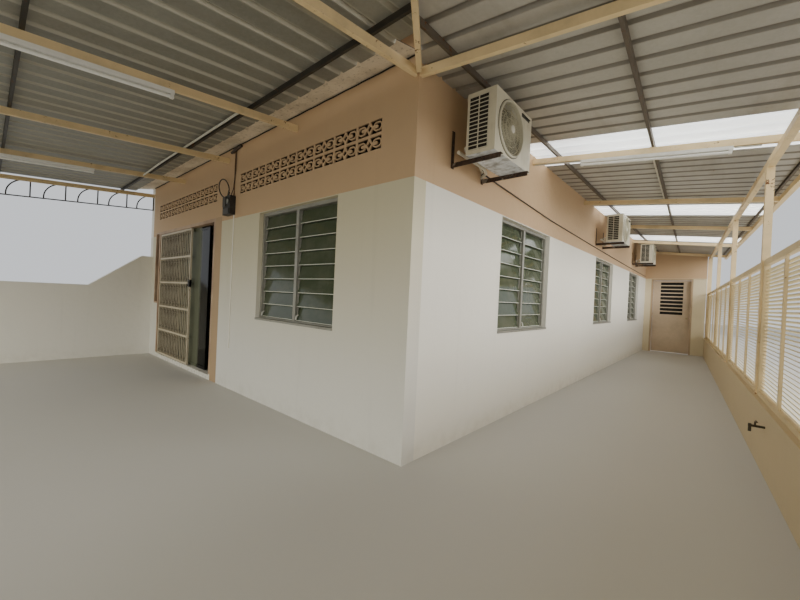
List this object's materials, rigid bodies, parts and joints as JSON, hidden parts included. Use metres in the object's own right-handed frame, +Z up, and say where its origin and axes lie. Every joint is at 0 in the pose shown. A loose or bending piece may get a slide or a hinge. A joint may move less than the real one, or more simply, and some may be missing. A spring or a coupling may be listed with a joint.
{
  "type": "single-storey corner house with awning",
  "caption": "Single-storey corner house with louvre windows, pierced vent blocks, sliding front door and grille, hipped sheet-metal awning on a fence line and side passage door.",
  "frame": {"origin": "open front corner of the outer walls at ground level", "axes": "+Z up, +Y along the side wall towards the rear, the front wall runs to -X"},
  "size_m": [9.15, 16.474, 5.4526],
  "materials": {
    "wall_paint": "two-colour emulsion on cement plaster",
    "floor_concrete": "cement screed",
    "vent_block": "painted cement block",
    "window_aluminium": "weathered natural anodised",
    "louvre_glass": "figured grey-green glass",
    "door_timber": "painted timber",
    "grille_paint": "off-white gloss on steel",
    "door_glass": "grey-green sheet glass",
    "passage_paint": "pinkish beige gloss",
    "awning_steel": "pale tan enamel on steel tube",
    "dark_steel": "dark primer, weathered",
    "sheet_metal": "dull zinc-coated ribbed sheet",
    "clear_sheet": "translucent white sheet",
    "board_paint": "weathered off-white board",
    "fence_slat": "cream paint",
    "roof_tile": "weathered clay tile",
    "unit_case": "ivory powder coat, dusty",
    "unit_guard": "dark wire",
    "rusty_steel": "rusted angle",
    "meter_black": "black box, dusty",
    "lamp_white": "white enamel",
    "conduit_plastic": "white PVC pipe",
    "tap_metal": "tarnished"
  },
  "bodies": {
    "house": {"floor_slab": "floor_concrete", "front_wall": "wall_paint", "front_wall_end": "wall_paint", "front_wall_over_door": "wall_paint", "side_wall": "wall_paint", "rear_wall": "wall_paint", "party_wall": "wall_paint", "porch_wall": "wall_paint", "end_wall_sides": "wall_paint", "end_wall_over_door": "wall_paint", "vent_blocks": "vent_block", "front_window_frame": "window_aluminium", "front_window_blades": "louvre_glass", "side_window_frames": "window_aluminium", "side_window_blades": "louvre_glass", "rear_window_frames": "window_aluminium", "rear_window_blades": "louvre_glass", "door_frame": "door_timber", "fixed_grille": "grille_paint", "fixed_glass": "door_glass", "passage_door_frame": "board_paint", "awning_rafters": "awning_steel", "party_truss": "dark_steel", "front_purlins": "dark_steel", "side_purlins": "dark_steel", "front_sheets": "sheet_metal", "side_sheets": "sheet_metal", "clear_sheets": "clear_sheet", "wall_flashing": "board_paint", "awning_beams": "awning_steel", "awning_posts": "awning_steel", "fence_wall": "wall_paint", "fence_rails": "awning_steel", "fence_slats": "fence_slat", "roof_slopes": "roof_tile", "roof_caps": "roof_tile", "eaves_boards": "board_paint", "outdoor_units": "unit_case", "unit_guards": "unit_guard", "unit_brackets": "rusty_steel", "meter_box": "meter_black", "light_battens": "lamp_white", "garden_tap": "tap_metal"},
    "sliding_grille": {"sliding_grille": "grille_paint"},
    "sliding_glass_leaf": {"sliding_glass_leaf": "door_glass"},
    "passage_door": {"passage_door": "passage_paint"}
  },
  "joints": [
    {"name": "slide_grille", "type": "slide", "parent": "house", "child": "sliding_grille", "axis": [1, 0, 0], "range_m": [0, 0.81]},
    {"name": "slide_glass_leaf", "type": "slide", "parent": "house", "child": "sliding_glass_leaf", "axis": [1, 0, 0], "range_m": [-0.765, 0.295]},
    {"name": "swing_passage_door", "type": "hinge", "parent": "house", "child": "passage_door", "pos_m": [0.197, 11.001, 1.05], "axis": [0, 0, 1], "range_deg": [0, 100]}
  ]
}
